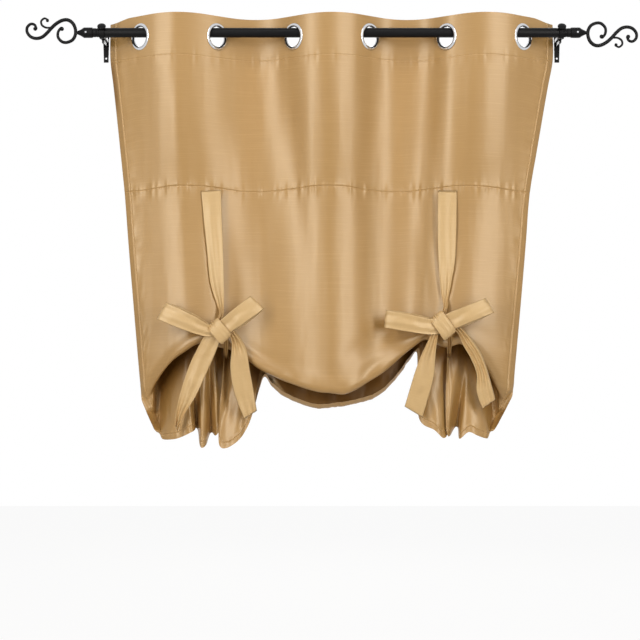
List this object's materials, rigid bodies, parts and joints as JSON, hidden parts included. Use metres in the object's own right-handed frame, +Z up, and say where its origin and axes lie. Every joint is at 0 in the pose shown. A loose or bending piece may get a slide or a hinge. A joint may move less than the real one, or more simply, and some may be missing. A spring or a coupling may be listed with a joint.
{
  "type": "tie up curtain",
  "caption": "Gold satin window panel threaded by chrome ring grommets on a black scroll-ended rod, its foot gathered up and tied in bows.",
  "frame": {"origin": "Middle of the back face of the left wall plate", "axes": "+X along the rod to the right as the room sees it, +Y towards the wall, +Z up"},
  "size_m": [1.3485, 0.1792, 0.9453],
  "materials": {
    "gold_satin": "satin, faint slubs across",
    "polished_chrome": "polished",
    "black_iron": "semi-gloss black"
  },
  "bodies": {
    "root": {"panel": "gold_satin", "front_tie_left": "gold_satin", "back_tie_left": "gold_satin", "front_tie_right": "gold_satin", "back_tie_right": "gold_satin", "grommet_front_1": "polished_chrome", "grommet_back_1": "polished_chrome", "grommet_front_2": "polished_chrome", "grommet_back_2": "polished_chrome", "grommet_front_3": "polished_chrome", "grommet_back_3": "polished_chrome", "grommet_front_4": "polished_chrome", "grommet_back_4": "polished_chrome", "grommet_front_5": "polished_chrome", "grommet_back_5": "polished_chrome", "grommet_front_6": "polished_chrome", "grommet_back_6": "polished_chrome", "rod": "black_iron", "bracket_left": "black_iron", "finial_left": "black_iron", "grub_screw_left": "black_iron", "thumb_screw_left": "black_iron", "bracket_right": "black_iron", "finial_right": "black_iron", "grub_screw_right": "black_iron", "thumb_screw_right": "black_iron"}
  },
  "joints": []
}
